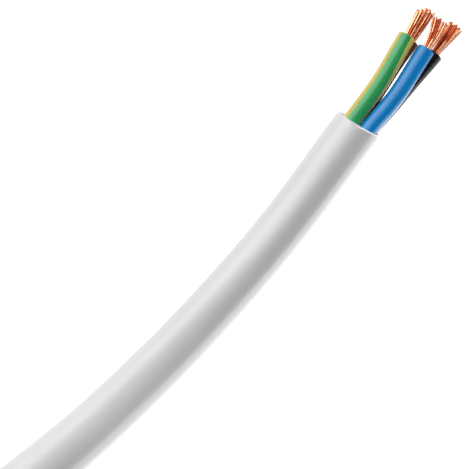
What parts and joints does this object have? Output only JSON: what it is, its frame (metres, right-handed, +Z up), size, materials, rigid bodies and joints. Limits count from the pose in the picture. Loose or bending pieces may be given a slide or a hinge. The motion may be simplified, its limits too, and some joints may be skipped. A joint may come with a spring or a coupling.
{
  "type": "coil of electrical wire",
  "caption": "Tied coil of white round four-core flexible electrical cable, its stripped end with bare stranded copper lying beside it.",
  "frame": {"origin": "on the floor under the middle of the footprint of the coil and its free end", "axes": "+Z up along the coil's axis; +X from the coil towards the side on which the free end lies; the free end points towards +X and +Y"},
  "size_m": [0.2472, 0.14, 0.0368],
  "materials": {
    "sheath": "smooth satin white PVC",
    "tie": "natural nylon, slightly translucent",
    "insulation_green_yellow": "glossy green PVC with two yellow stripes",
    "insulation_blue": "glossy blue PVC",
    "insulation_brown": "glossy brown PVC",
    "insulation_black": "glossy black PVC",
    "copper": "bright bare stranded copper"
  },
  "bodies": {
    "root": {"coil": "sheath", "free_end": "sheath", "tie_1": "tie", "tie_2": "tie", "tie_3": "tie", "core_green_yellow": "insulation_green_yellow", "core_blue": "insulation_blue", "core_brown": "insulation_brown", "core_black": "insulation_black", "conductor_green_yellow": "copper", "conductor_blue": "copper", "conductor_brown": "copper", "conductor_black": "copper"}
  },
  "joints": []
}
